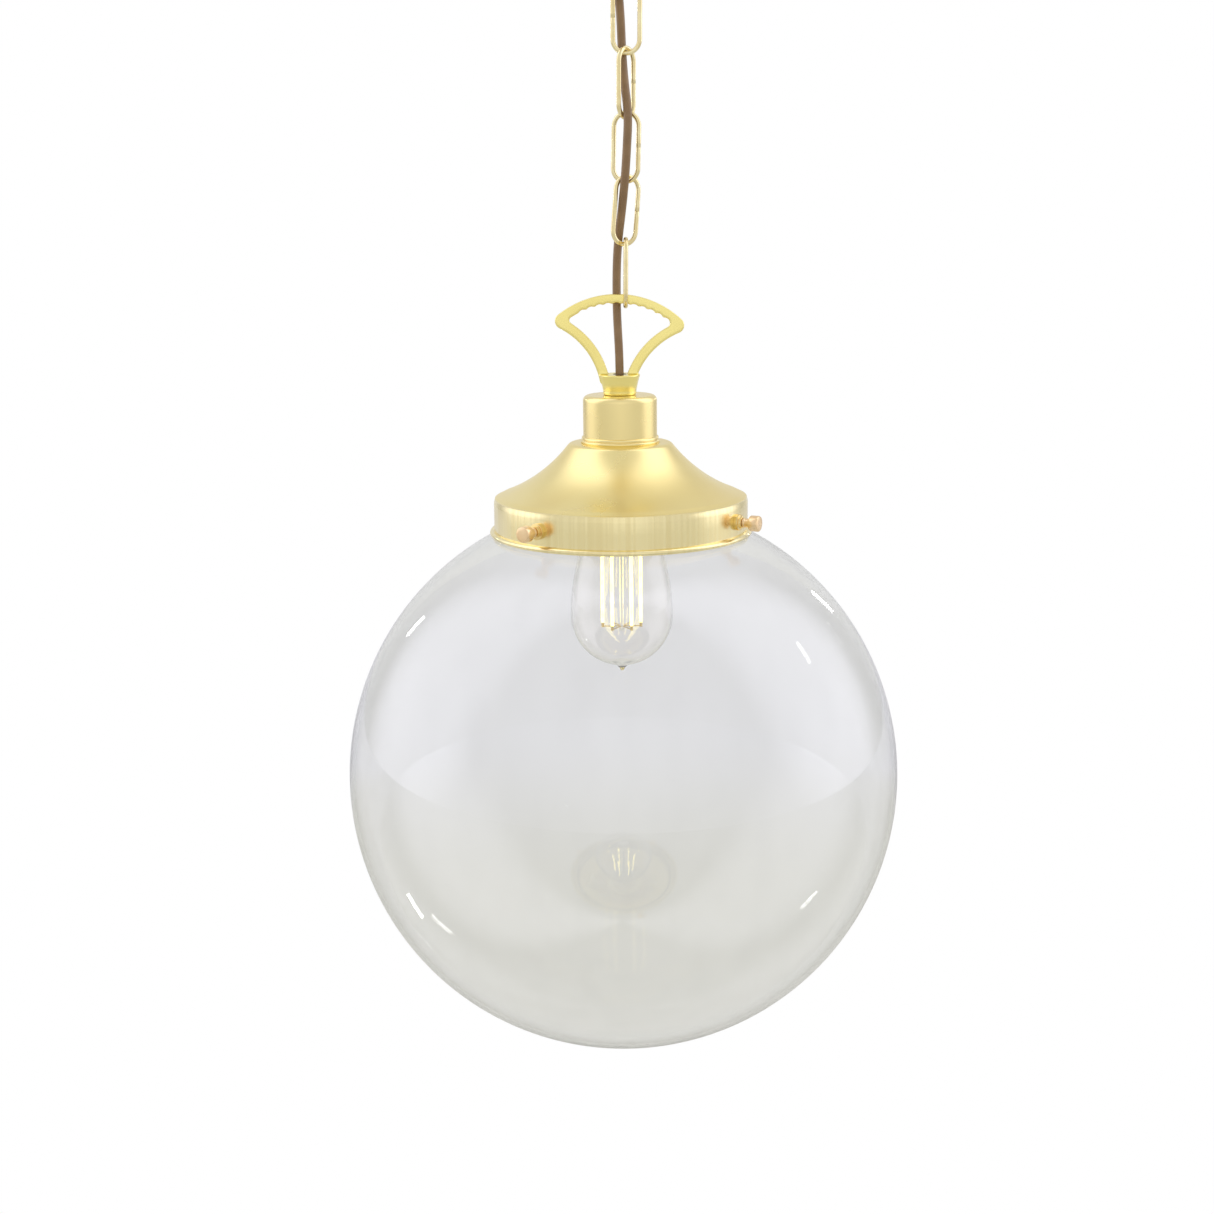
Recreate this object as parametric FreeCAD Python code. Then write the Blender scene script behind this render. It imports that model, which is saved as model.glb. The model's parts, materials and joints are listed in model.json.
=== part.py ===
"""Globe pendant light: a clear glass globe held by three thumb screws in a brass gallery,
hung by a fan-shaped loop from an oval-link chain and a ceiling rose, with a flex down the chain.

Millimetres, +Z up. The origin is on the ceiling, on the axis of the rose, and everything hangs
below it. The lamp's own pieces are drawn upright about their own axis, with z = 0 at the middle
of the gallery's bead, and are then hung from the lowest link.
"""

import FreeCAD, Part
import math
import os

from FreeCAD import Vector

# ---- ceiling rose ----
ROSE_R = 54.0
ROSE_DEPTH = 34.0
ROSE_FLAT_R = 24.0
ROSE_WALL = 1.0
BRACKET_SPACING = 76.0
BRACKET_SLOT = (11.0, 4.6)      # length and width of each screw slot
BRACKET_WIDTH = 20.0
BRACKET_THICK = 1.6
BRACKET_DROP = 9.0              # ceiling to the underside of the middle of the bracket
RING_R = 10.0                   # rose loop, centre line
RING_WIRE_R = 2.3
RING_Z = -52.5
ROSE_HOLE = Vector(-14.0, 6.0, 0.0)
ROSE_HOLE_R = 3.6
TERMINALS = Vector(-24.0, 6.0, -22.0)   # middle of the terminal block's underside
WAY_PITCH = 9.5

# ---- nipples, M10 x 1, and their nuts ----
NIPPLE_R = 5.0
NIPPLE_BORE_R = 3.3
NUT_ACROSS = 14.0
NUT_THICK = 3.2

# ---- chain ----
WIRE_R = 1.4
LINK_LENGTH = 42.65
LINK_WIDTH = 18.6
LINK_GAP = 0.15                 # air between two links where they hook
TURNS = (90.0, 31.0, -21.0, 56.0, 0.0, 90.0)    # lowest link first, about +Z
LEANS = (0.0, 4.5, 1.0, 0.0, 0.0, 0.0)          # each in its own plane

# ---- lamp: suspension loop ----
LOOP_DEPTH = 5.0
BAR_TOP = 144.9
BAR_R = 58.2
BAR_WIDTH = 5.9
LEG_WIDTH = 6.1
LEG_R = 46.3
LEG_MIDDLE_X = 55.7             # middle of the leg's arc, either side
LEG_MIDDLE_Z = 80.9
HUB_R = 10.2
HUB_LOW = 84.1
HUB_HIGH = 96.7
LOOP_SET = 2.7                  # the fan stands this many degrees out of true on its hub
LOOP_SHIFT = -1.2               # and this far to one side of it
NOTCH_R = 3.2
NOTCH_DEPTH = 0.9
NOTCH_PITCH = 5.4
NOTCHES_EACH_WAY = 5
HOOK_NOTCH_X = 3.2              # the notch that the chain pulls on, from the fan's own middle
LAMP_LEAN = -0.6                # about +Y, because the chain pulls off the axis

# ---- lamp: cup and gallery ----
CUP_R = 22.7
CUP_FLANGE_R = 23.7
CUP_FLANGE_HIGH = 58.8
CUP_WALL = 1.1
CUP_EDGE_R = 3.0
GALLERY_TOP = 55.0
GALLERY_WALL = 1.2
GALLERY_HOLE_R = 19.8
BAND_R = 78.6
BAND_HIGH = 15.6
CORNER_R = 8.5
FLANK_R = 95.6
TOP_EDGE_R = 4.3
TOP_FLAT_R = 29.1
BEAD_R = 1.6
BEAD_RING_R = 79.8

# ---- thumb screws: turned from the front, to the right ----
SCREW_AZIMUTHS = (-38.5, 62.0, 193.5)
SCREW_Z = 10.5
SCREW_R = 2.0
SCREW_FIT = 0.05
SCREW_TIP = 73.6
SCREW_NECK = (82.9, 87.6, 2.9)  # start, end, radius
SCREW_HEAD = (87.6, 93.6, 4.8)
BOSS_FLANGE = (81.1, 4.85)      # outer face, radius
BOSS_COLLAR = (82.7, 3.5)

# ---- globe ----
GLOBE_R = 173.6
GLOBE_Z = -156.4
GLASS = 3.0
NECK_R = 73.0
NECK_FILLET_R = 9.0
LIP_R = 76.5
LIP_LOW = SCREW_Z + SCREW_R + 0.3
LIP_HIGH = 17.3
LIP_BEVEL = 1.2

# ---- lamp holder and bulb ----
HOLDER_R = 19.2
HOLDER_WALL = 1.4
HOLDER_LOW = 14.0
HOLDER_HIGH = 62.0
NIPPLE_FOOT = 68.0
THREAD_R = 13.5
CAP_R = 13.1
CAP_LOW = 23.5
CAP_HIGH = 46.0
CONTACT_Z = 49.4
BULB_R = 32.0
BULB_WIDE_Z = -54.0
BULB_SIDE_R = 130.0
BULB_NECK_R = 13.4
BULB_SHOULDER_R = 35.0
BULB_GLASS = 0.9
FILAMENTS = 6
FILAMENT_RING_R = 12.0
FILAMENT_Z = (-62.0, -6.0)
FILAMENT_CAP = 3.0              # length of the metal cap on each end

# ---- flex, down the chain from the rose to the hub ----
FLEX_R = 2.55
CORE_R = 0.6
FLEX_ROUTE = (
    (-14.0, 6.0, -29.7),
    (-14.0, 6.2, -44.0),
    (-11.6, 6.9, -60.5),
    (-7.4, 6.4, -78.5),
    (-4.8, 6.4, -97.0),
    (-3.2, 6.9, -115.5),
    (-2.5, 5.6, -133.9),
    (-1.0, -0.5, -152.4),
    (1.3, -6.6, -170.8),
    (0.5, -7.0, -189.3),
    (-0.6, -6.2, -207.7),
    (-2.4, -0.6, -226.2),
    (-4.7, 5.4, -244.6),
    (-5.4, 6.6, -259.0),
    (-5.5, 6.4, -273.5),
    (-5.2, 5.0, -288.5),
    (-4.3, 2.0, -303.5),
)
FLEX_HUB = (104.0, 92.0)        # its last two points, on the lamp's own axis

UP = Vector(0, 0, 1)


# ---- helpers ----
def cylinder(radius, start, length, axis=UP):
    return Part.makeCylinder(radius, length, start, axis)


def disc(radius, low, high):
    return cylinder(radius, Vector(0, 0, low), high - low)


def tube(outer, inner, low, high):
    return disc(outer, low, high).cut(disc(inner, low - 1, high + 1))


def hexagon(across, bore, low, high):
    corner = across / math.sqrt(3)
    corners = [Vector(corner * math.cos(i * math.pi / 3), corner * math.sin(i * math.pi / 3), low)
               for i in range(7)]
    prism = Part.Face(Part.makePolygon(corners)).extrude(Vector(0, 0, high - low))
    return prism.cut(disc(bore, low - 1, high + 1))


def spin(face):
    return face.revolve(Vector(0, 0, 0), UP, 360)


def polygon_face(points):
    corners = [Vector(x, 0, z) for x, z in points]
    return Part.Face(Part.makePolygon(corners + corners[:1]))


def turned(points):
    return spin(polygon_face(points))


def line(a, b):
    return Part.LineSegment(Vector(a[0], 0, a[1]), Vector(b[0], 0, b[1])).toShape()


def arc(centre, radius, start, end):
    """The short arc about centre from angle start to angle end, in degrees, in the XZ plane."""
    points = []
    for angle in (start, (start + end) / 2, end):
        turn = math.radians(angle)
        points.append(Vector(centre[0] + radius * math.cos(turn), 0, centre[1] + radius * math.sin(turn)))
    return Part.Arc(*points).toShape()


def skin(edges, wall):
    """The section of a thin wall, laid on the left of an outline as it is drawn."""
    return Part.Wire(edges).makeOffset2D(wall, 0, True, True, False)


def angle_to(a, b):
    return math.degrees(math.atan2(b[1] - a[1], b[0] - a[0]))


def apex(c1, r1, c2, r2):
    """The point at r1 from c1 and r2 from c2 that lies above and outside both."""
    dx, dz = c2[0] - c1[0], c2[1] - c1[1]
    span = math.hypot(dx, dz)
    along = (r1 * r1 - r2 * r2 + span * span) / (2 * span)
    across = math.sqrt(r1 * r1 - along * along)
    return (c1[0] + (along * dx + across * dz) / span, c1[1] + (along * dz - across * dx) / span)


def radial(azimuth):
    turn = math.radians(azimuth)
    return Vector(math.sin(turn), -math.cos(turn), 0)


def group(shapes):
    return Part.Compound(shapes)


def bent_path(points):
    """Straight runs joined by tangent arcs, each as large as its two runs allow."""
    points = [Vector(*p) for p in points]
    edges = []
    radii = []
    last = points[0]
    for before, corner, after in zip(points, points[1:], points[2:]):
        back = (before - corner).normalize()
        ahead = (after - corner).normalize()
        half_turn = (math.pi - back.getAngle(ahead)) / 2
        reach = 0.45 * min((before - corner).Length, (after - corner).Length)
        radius = reach / math.tan(half_turn)
        start = corner + back * reach
        end = corner + ahead * reach
        middle = corner + (back + ahead).normalize() * (radius / math.cos(half_turn) - radius)
        edges.append(Part.LineSegment(last, start).toShape())
        edges.append(Part.Arc(start, middle, end).toShape())
        radii.append(radius)
        last = end
    edges.append(Part.LineSegment(last, points[-1]).toShape())
    return Part.Wire(edges), radii


def cable(points, radius):
    path, radii = bent_path(points)
    first = Vector(*points[0])
    section = Part.Wire(Part.makeCircle(radius, first, Vector(*points[1]) - first))
    return path.makePipeShell([section], True, False), path, radii


# ---- ceiling rose ----
def mounting_bracket():
    foot_in = 26.0
    foot_out = (BRACKET_SPACING + 22.0) / 2
    low = -BRACKET_DROP
    half = [(0, low + BRACKET_THICK), (foot_in - 6, low + BRACKET_THICK), (foot_in, 0), (foot_out, 0),
            (foot_out, -BRACKET_THICK), (foot_in + 1, -BRACKET_THICK), (foot_in - 5, low), (0, low)]
    strip = polygon_face(half + [(-x, z) for x, z in reversed(half[1:-1])])
    plate = strip.extrude(Vector(0, BRACKET_WIDTH, 0))
    plate.translate(Vector(0, -BRACKET_WIDTH / 2, 0))
    length, width = BRACKET_SLOT
    for side in (-1, 1):
        middle = side * BRACKET_SPACING / 2
        slot = Part.makeBox(length - width, width, 20, Vector(middle - (length - width) / 2, -width / 2, -15))
        for end in (-1, 1):
            slot = slot.fuse(cylinder(width / 2, Vector(middle + end * (length - width) / 2, 0, -15), 20))
        plate = plate.cut(slot)
    return plate.cut(disc(NIPPLE_R, low - 2, 0))


def rose_nipple():
    return tube(NIPPLE_R, NIPPLE_BORE_R, -40.0, -4.5)


def rose_nuts():
    """One under the bracket and one inside the floor of the cover."""
    floor = ROSE_WALL - ROSE_DEPTH
    return group([hexagon(NUT_ACROSS, NIPPLE_R, -BRACKET_DROP - NUT_THICK, -BRACKET_DROP),
                  hexagon(NUT_ACROSS, NIPPLE_R, floor, floor + NUT_THICK)])


def rose_cover():
    """A shallow spun dome with a plain rim on the ceiling and a flat middle."""
    rim = 5.0
    flat = (ROSE_FLAT_R, -ROSE_DEPTH)
    side = (ROSE_R, -rim)
    bulge = Vector(ROSE_R - 10.0, 0, -ROSE_DEPTH + 9.5)
    edges = [line((NIPPLE_R, -ROSE_DEPTH), flat),
             Part.Arc(Vector(flat[0], 0, flat[1]), bulge, Vector(side[0], 0, side[1])).toShape(),
             line(side, (ROSE_R, 0))]
    shell = spin(skin(edges, ROSE_WALL))
    return shell.cut(cylinder(ROSE_HOLE_R, ROSE_HOLE + Vector(0, 0, -ROSE_DEPTH - 5), 10))


def rose_loop():
    low = RING_Z + RING_R - 1.0
    collar = turned([(NIPPLE_R, -ROSE_DEPTH), (8.5, -ROSE_DEPTH), (8.5, -38.0), (6.5, low - 0.5),
                     (0, low - 0.5), (0, low + 1.0), (NIPPLE_R, low + 1.0)])
    ring = Part.makeTorus(RING_R, RING_WIRE_R, Vector(0, 0, RING_Z), Vector(0, 1, 0))
    return collar.fuse(ring).removeSplitter()


def rose_bush():
    low = -ROSE_DEPTH
    floor = low + ROSE_WALL
    bore = FLEX_R + 0.2
    bush = turned([(bore, low + 3.5), (5.0, low + 3.5), (5.0, floor), (ROSE_HOLE_R, floor),
                   (ROSE_HOLE_R, low), (5.2, low), (4.4, low - 2.0), (bore, low - 2.0)])
    bush.translate(ROSE_HOLE)
    return bush


def terminal_block():
    """A three-way block with a screw well over each way and a slot for each core."""
    corner = TERMINALS + Vector(-8, -15, 0)
    block = Part.makeBox(16, 30, 9.5, corner)
    for way in (-1, 0, 1):
        middle = TERMINALS + Vector(0, way * WAY_PITCH, 0)
        block = block.cut(cylinder(2.3, middle + Vector(-3.5, 0, -1), 6))
        block = block.cut(cylinder(1.4, middle + Vector(3.5, 0, -1), 8))
    return block


def terminal_screws():
    screws = []
    for way in (-1, 0, 1):
        foot = TERMINALS + Vector(-3.5, way * WAY_PITCH, 0.6)
        screw = cylinder(2.0, foot, 4.2)
        screws.append(screw.cut(Part.makeBox(0.7, 6, 0.8, foot + Vector(-0.35, -3, -0.1))))
    return group(screws)


def rose_flex():
    top = Vector(*FLEX_ROUTE[0]) + Vector(0, 0, 0.2)
    return cylinder(FLEX_R, top, 3.5)


def rose_core_wires():
    top = Vector(*FLEX_ROUTE[0]) + Vector(0, 0, 3.8)
    cores = []
    for way in (-1, 0, 1):
        start = top + Vector(-0.6 * abs(way), 1.3 * way, 0)
        block = TERMINALS + Vector(3.5, way * WAY_PITCH, 4.0)
        turn = Vector(block.x, block.y, start.z)
        rise = start + Vector(0, 0, 1.5)
        route = [start, rise, turn + Vector(0, 0, 2.5), block]
        cores.append(cable([tuple(point) for point in route], CORE_R)[0])
    return group(cores)


# ---- chain ----
def link_reach(lean):
    """Half the height of a leaning link, wire centre to wire centre, on the plumb line."""
    arch = (LINK_WIDTH / 2) - WIRE_R
    half = LINK_LENGTH / 2 - WIRE_R - arch
    turn = math.radians(lean)
    return half * math.cos(turn) + math.sqrt(arch * arch - (half * math.sin(turn)) ** 2)


def link_heights():
    """The centre of each link, lowest first, and the wire centre at the foot of the lowest."""
    hook = RING_Z - RING_R + RING_WIRE_R + WIRE_R + LINK_GAP
    centres = []
    for lean in reversed(LEANS):
        reach = link_reach(lean)
        centres.append(hook - reach)
        hook = hook - 2 * reach + 2 * WIRE_R + LINK_GAP
    foot = hook - 2 * WIRE_R - LINK_GAP
    return centres[::-1], foot


def chain_link(turn, lean, height):
    arch = LINK_WIDTH / 2 - WIRE_R
    half = LINK_LENGTH / 2 - WIRE_R - arch
    edges = [Part.makeLine(Vector(arch, 0, 0), Vector(arch, 0, half)),
             arc((0, half), arch, 0, 180),
             Part.makeLine(Vector(-arch, 0, half), Vector(-arch, 0, -half)),
             arc((0, -half), arch, 180, 360),
             Part.makeLine(Vector(arch, 0, -half), Vector(arch, 0, 0))]
    section = Part.Wire(Part.makeCircle(WIRE_R, Vector(arch, 0, 0), UP))
    link = Part.Wire(edges).makePipeShell([section], True, False)
    link.rotate(Vector(0, 0, 0), Vector(0, 1, 0), lean)
    link.rotate(Vector(0, 0, 0), UP, turn)
    link.translate(Vector(0, 0, height))
    return link


# ---- placing the lamp under the chain ----
def fan_turn():
    return FreeCAD.Rotation(Vector(0, 1, 0), LOOP_SET)


def hook_point():
    """The floor of the loaded notch, in the lamp's own frame."""
    inner = BAR_R - BAR_WIDTH + NOTCH_DEPTH
    centre_z = BAR_TOP - BAR_R
    rise = math.sqrt(inner ** 2 - HOOK_NOTCH_X ** 2)
    point = Vector(HOOK_NOTCH_X + LOOP_SHIFT, 0, centre_z + rise)
    pivot = Vector(0, 0, HUB_HIGH)
    return pivot + fan_turn().multVec(point - pivot)


def hook_height():
    """The wire curves up either side of the fan, so the fan rides on it by its two edges."""
    inner = LINK_WIDTH / 2 - 2 * WIRE_R
    rise = inner - math.sqrt(inner ** 2 - (LOOP_DEPTH / 2) ** 2)
    return link_heights()[1] + WIRE_R + rise + LINK_GAP


def lamp_placement():
    lean = FreeCAD.Rotation(Vector(0, 1, 0), LAMP_LEAN)
    base = Vector(0, 0, hook_height()) - lean.multVec(hook_point())
    return FreeCAD.Placement(base, lean)


def hung(shape):
    shape = shape.copy()
    shape.transformShape(lamp_placement().toMatrix())
    return shape


def lamp_point(x, y, z):
    return lamp_placement().multVec(Vector(x, y, z))


# ---- suspension loop ----
def side_disc(side, radius, low, high):
    """A disc on its edge, beside the fan, whose rim is one edge of a leg."""
    start = Vector(side * LEG_MIDDLE_X, low, LEG_MIDDLE_Z)
    return cylinder(radius, start, high - low, Vector(0, 1, 0))


def fan_plate(bar_r, leg_r, floor, depth):
    """What lies under the bar's circle, between the two side discs and above the floor."""
    plate = cylinder(bar_r, Vector(0, -depth / 2, BAR_TOP - BAR_R), depth, Vector(0, 1, 0))
    plate = plate.common(Part.makeBox(200, depth, 200, Vector(-100, -depth / 2, floor)))
    for side in (-1, 1):
        plate = plate.cut(side_disc(side, leg_r, -depth, depth))
    return plate


def rounded(plate, radius):
    """Rounds the two sharp tips of a fan-shaped plate."""
    tips = [e for e in plate.Edges
            if abs(e.Vertexes[0].X) > 25 and abs(e.Vertexes[0].X - e.Vertexes[-1].X) < 0.01
            and abs(e.Vertexes[0].Z - e.Vertexes[-1].Z) < 0.01]
    return plate.makeFillet(radius, tips)


def suspension_loop():
    outline = rounded(fan_plate(BAR_R, LEG_R, HUB_LOW + 3, LOOP_DEPTH), 4.8)
    outline = outline.common(Part.makeBox(200, 20, 200, Vector(-100, -10, HUB_HIGH - 6)))
    window = rounded(fan_plate(BAR_R - BAR_WIDTH, LEG_R + LEG_WIDTH, HUB_HIGH, LOOP_DEPTH + 4), 2.0)
    fan = outline.cut(window)
    inner = BAR_R - BAR_WIDTH
    middle = math.asin(HOOK_NOTCH_X / inner)
    step = NOTCH_PITCH / inner
    reach = inner + NOTCH_DEPTH - NOTCH_R
    for i in range(-NOTCHES_EACH_WAY, NOTCHES_EACH_WAY + 1):
        turn = middle + i * step
        start = Vector(reach * math.sin(turn), -10, BAR_TOP - BAR_R + reach * math.cos(turn))
        fan = fan.cut(cylinder(NOTCH_R, start, 20, Vector(0, 1, 0)))
    fan.translate(Vector(LOOP_SHIFT, 0, 0))
    fan.rotate(Vector(0, 0, HUB_HIGH), Vector(0, 1, 0), LOOP_SET)
    hub = disc(HUB_R, HUB_LOW, HUB_HIGH)
    loop = hub.fuse(fan).removeSplitter()
    loop = loop.cut(disc(NIPPLE_R, HUB_LOW - 1, HUB_LOW + 8))
    return loop.cut(disc(4.2, HUB_LOW, HUB_HIGH + 1))


def cord_bush():
    return turned([(FLEX_R + 0.2, HUB_HIGH - 4.6), (4.2, HUB_HIGH - 4.6), (4.2, HUB_HIGH),
                   (FLEX_R + 0.2, HUB_HIGH)])


# ---- neck ----
def lamp_nipple():
    return tube(NIPPLE_R, NIPPLE_BORE_R, NIPPLE_FOOT, HUB_LOW + 7.6)


def neck_cup():
    inside = CUP_R - CUP_WALL
    top = HUB_LOW
    outer = turned([(0, GALLERY_TOP), (CUP_FLANGE_R, GALLERY_TOP), (CUP_FLANGE_R, CUP_FLANGE_HIGH),
                    (CUP_R, CUP_FLANGE_HIGH), (CUP_R, top), (0, top)])
    rims = [e for e in outer.Edges if abs(e.BoundBox.ZMax - top) < 0.01 and e.BoundBox.XLength > CUP_R]
    outer = outer.makeFillet(CUP_EDGE_R, rims)
    flange = [e for e in outer.Edges if e.BoundBox.XLength > 2 * CUP_R + 1]
    outer = outer.makeFillet(0.8, flange)
    return outer.cut(disc(inside, GALLERY_TOP - 1, top - CUP_WALL)).cut(disc(NIPPLE_R, top - 3, top + 1))


def cup_nut():
    under = HUB_LOW - CUP_WALL
    washer = tube(10.0, NIPPLE_R, under - 1.0, under)
    return group([washer, hexagon(NUT_ACROSS, NIPPLE_R, under - 1.0 - NUT_THICK, under - 1.0)])


def gallery_outline():
    corner = (BAND_R - CORNER_R, BAND_HIGH)
    edge = (TOP_FLAT_R, GALLERY_TOP - TOP_EDGE_R)
    flank = apex(corner, FLANK_R + CORNER_R, edge, FLANK_R + TOP_EDGE_R)
    corner_turn = angle_to(corner, flank)
    edge_turn = angle_to(edge, flank)
    return [line((BAND_R, 0), (BAND_R, BAND_HIGH)),
            arc(corner, CORNER_R, 0, corner_turn),
            arc(flank, FLANK_R, corner_turn + 180, edge_turn + 180),
            arc(edge, TOP_EDGE_R, edge_turn, 90),
            line((TOP_FLAT_R, GALLERY_TOP), (GALLERY_HOLE_R, GALLERY_TOP))]


def gallery():
    shell = spin(skin(gallery_outline(), GALLERY_WALL))
    bead = Part.makeTorus(BEAD_RING_R, BEAD_R, Vector(0, 0, 0), UP)
    shell = shell.fuse(bead).removeSplitter()
    for azimuth in SCREW_AZIMUTHS:
        out = radial(azimuth)
        shell = shell.cut(cylinder(BOSS_COLLAR[1], out * 70 + Vector(0, 0, SCREW_Z), 20, out))
    return shell


def screw_bosses(band):
    bosses = []
    for azimuth in SCREW_AZIMUTHS:
        out = radial(azimuth)
        foot = Vector(0, 0, SCREW_Z)
        inside = BAND_R - GALLERY_WALL
        collar = cylinder(BOSS_COLLAR[1], foot + out * (inside + 0.1), BOSS_COLLAR[0] - inside - 0.1, out)
        flange = cylinder(BOSS_FLANGE[1], foot + out * (BAND_R - 0.5), BOSS_FLANGE[0] - BAND_R + 0.5, out)
        boss = flange.cut(disc(BAND_R, 0, BAND_HIGH)).fuse(collar).cut(band)
        bosses.append(boss.cut(cylinder(SCREW_R + SCREW_FIT, foot + out * 70, 30, out)))
    return group(bosses)


# ---- thumb screws and globe ----
def thumb_screw(azimuth):
    """Turned about its own axis: cone tip, threaded shank, neck and plain head."""
    shank = SCREW_TIP + SCREW_R
    neck_start, head_start, neck_r = SCREW_NECK
    head_end, head_r = SCREW_HEAD[1:]
    bevel = 0.8
    outline = [(0, SCREW_TIP), (SCREW_R, shank), (SCREW_R, neck_start), (neck_r, neck_start),
               (neck_r, head_start), (head_r - bevel, head_start), (head_r, head_start + bevel),
               (head_r, head_end - bevel), (head_r - bevel, head_end), (0, head_end)]
    screw = turned(outline)
    screw.rotate(Vector(0, 0, 0), Vector(1, 0, 0), 90)
    screw.rotate(Vector(0, 0, 0), UP, azimuth)
    screw.translate(Vector(0, 0, SCREW_Z))
    return screw


def glass_globe():
    """Blown globe with a short neck and a lip that the screw tips hold from below."""
    centre = (0, GLOBE_Z)
    fillet_r = NECK_R + NECK_FILLET_R
    fillet_z = GLOBE_Z + math.sqrt((GLOBE_R + NECK_FILLET_R) ** 2 - fillet_r ** 2)
    shoulder = math.degrees(math.atan2(fillet_z - GLOBE_Z, fillet_r))
    edges = [arc(centre, GLOBE_R, -90, shoulder),
             arc((fillet_r, fillet_z), NECK_FILLET_R, shoulder + 180, 180),
             line((NECK_R, fillet_z), (NECK_R, LIP_HIGH))]
    wall = spin(skin(edges, GLASS))
    lip = turned([(NECK_R - 1, LIP_LOW), (LIP_R - LIP_BEVEL, LIP_LOW), (LIP_R, LIP_LOW + LIP_BEVEL),
                  (LIP_R, LIP_HIGH - 1.0), (LIP_R - 1.0, LIP_HIGH), (NECK_R - 1, LIP_HIGH)])
    return wall.fuse(lip).removeSplitter()


# ---- lamp holder ----
def holder_cap():
    """A domed cap with a collar that screws onto the nipple."""
    low = HOLDER_HIGH
    top = HOLDER_HIGH + 8.0
    inside = HOLDER_R - HOLDER_WALL
    outer = turned([(NIPPLE_R, low), (HOLDER_R, low), (HOLDER_R, low + 4), (14.0, top), (8.0, top),
                    (8.0, top + 6), (NIPPLE_R, top + 6)])
    hollow = turned([(0, low - 1), (inside, low - 1), (inside, low + 3.4), (13.4, top - HOLDER_WALL),
                     (0, top - HOLDER_WALL)])
    return outer.cut(hollow)


def holder_body():
    body = tube(HOLDER_R, HOLDER_R - HOLDER_WALL, HOLDER_LOW, HOLDER_HIGH)
    collar = tube(CUP_R - CUP_WALL - 0.3, HOLDER_R, GALLERY_TOP, GALLERY_TOP + 2.0)
    return body.fuse(collar).removeSplitter()


def shade_ring():
    under = GALLERY_TOP - GALLERY_WALL
    return tube(27.0, HOLDER_R, under - 2.0, under).fuse(tube(21.5, HOLDER_R, under - 8.0, under - 2.0))


def holder_insulator():
    """Porcelain: a sleeve round the screw shell and a floor for the contacts."""
    sleeve = tube(HOLDER_R - 1.5, THREAD_R + 1.0, HOLDER_LOW + 4, CONTACT_Z + 3)
    floor = tube(HOLDER_R - 1.5, 2.2, CONTACT_Z + 3, CONTACT_Z + 9)
    insulator = sleeve.fuse(floor).removeSplitter()
    for side in (-1, 1):
        insulator = insulator.cut(cylinder(1.7, Vector(side * 10, 0, CONTACT_Z + 4.5), 8))
    return insulator


def holder_thread():
    return tube(THREAD_R + 0.95, THREAD_R + 0.35, HOLDER_LOW + 7, CONTACT_Z + 2)


def holder_contact():
    rivet = disc(2.1, CONTACT_Z + 2.0, CONTACT_Z + 9.4)
    blade = Part.makeBox(11.0, 5.0, 0.5, Vector(-5.5, -2.5, CONTACT_Z + 1.5))
    tongue = disc(3.0, CONTACT_Z + 0.1, CONTACT_Z + 1.5)
    return rivet.fuse([blade, tongue]).removeSplitter()


def holder_terminals():
    screws = []
    for side in (-1, 1):
        shank = cylinder(1.65, Vector(side * 10, 0, CONTACT_Z + 4.6), 4.6)
        head = cylinder(3.0, Vector(side * 10, 0, CONTACT_Z + 9.1), 1.8)
        slot = Part.makeBox(8, 0.8, 1, Vector(side * 10 - 4, -0.4, CONTACT_Z + 10.2))
        screws.append(shank.fuse(head).cut(slot))
    return group(screws)


def lamp_flex():
    return disc(FLEX_R, NIPPLE_FOOT + 0.4, FLEX_HUB[1] - 0.3)


def lamp_core_wires():
    cores = []
    for side in (-1, 1):
        route = [(side * 1.25, 0, NIPPLE_FOOT + 0.2), (side * 1.5, 0, NIPPLE_FOOT - 2.6),
                 (side * 6, 1.5 * side, NIPPLE_FOOT - 4.4), (side * 10, 3.9 * side, NIPPLE_FOOT - 6.4),
                 (side * 10, 3.9 * side, NIPPLE_FOOT - 8.8)]
        cores.append(cable(route, CORE_R)[0])
    return group(cores)


# ---- bulb ----
def bulb_outline():
    side = (BULB_R - BULB_SIDE_R, BULB_WIDE_Z)
    shoulder_r = BULB_NECK_R + BULB_SHOULDER_R
    turn = math.degrees(math.acos((shoulder_r - side[0]) / (BULB_SIDE_R + BULB_SHOULDER_R)))
    shoulder = (shoulder_r, BULB_WIDE_Z + (BULB_SIDE_R + BULB_SHOULDER_R) * math.sin(math.radians(turn)))
    edges = [arc((0, BULB_WIDE_Z), BULB_R, -90, 0),
             arc(side, BULB_SIDE_R, 0, turn),
             arc(shoulder, BULB_SHOULDER_R, turn + 180, 180)]
    if shoulder[1] < CAP_LOW + 2:
        edges.append(line((BULB_NECK_R, shoulder[1]), (BULB_NECK_R, CAP_LOW + 2)))
    return edges


def bulb_glass():
    wall = spin(skin(bulb_outline(), BULB_GLASS)).cut(disc(40, CAP_LOW - 0.05, 60))
    bottom = BULB_WIDE_Z - BULB_R
    pip = turned([(0, bottom + 0.6), (4.2, bottom + 0.4), (2.6, bottom - 1.6), (1.2, bottom - 3.8),
                  (0, bottom - 4.2)])
    return wall.fuse(pip).removeSplitter()


def bulb_cap():
    top = CAP_HIGH + 1.2
    inside = CAP_R - 0.5
    cup = turned([(CAP_R, CAP_LOW), (CAP_R, CAP_HIGH), (8.0, top), (0, top), (0, CAP_LOW)])
    hollow = turned([(inside, CAP_LOW - 1), (inside, CAP_HIGH - 0.5), (8.0, top - 0.5), (5.0, top - 0.5),
                     (5.0, top + 1), (0, top + 1), (0, CAP_LOW - 1)])
    return cup.cut(hollow)


def bulb_insulator():
    return turned([(8.0, CAP_HIGH + 1.2), (4.9, CONTACT_Z - 0.8), (0, CONTACT_Z - 0.8), (0, CAP_HIGH + 1.2)])


def bulb_contact():
    return turned([(0, CONTACT_Z - 0.8), (4.8, CONTACT_Z - 0.8), (3.6, CONTACT_Z), (0, CONTACT_Z)])


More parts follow.
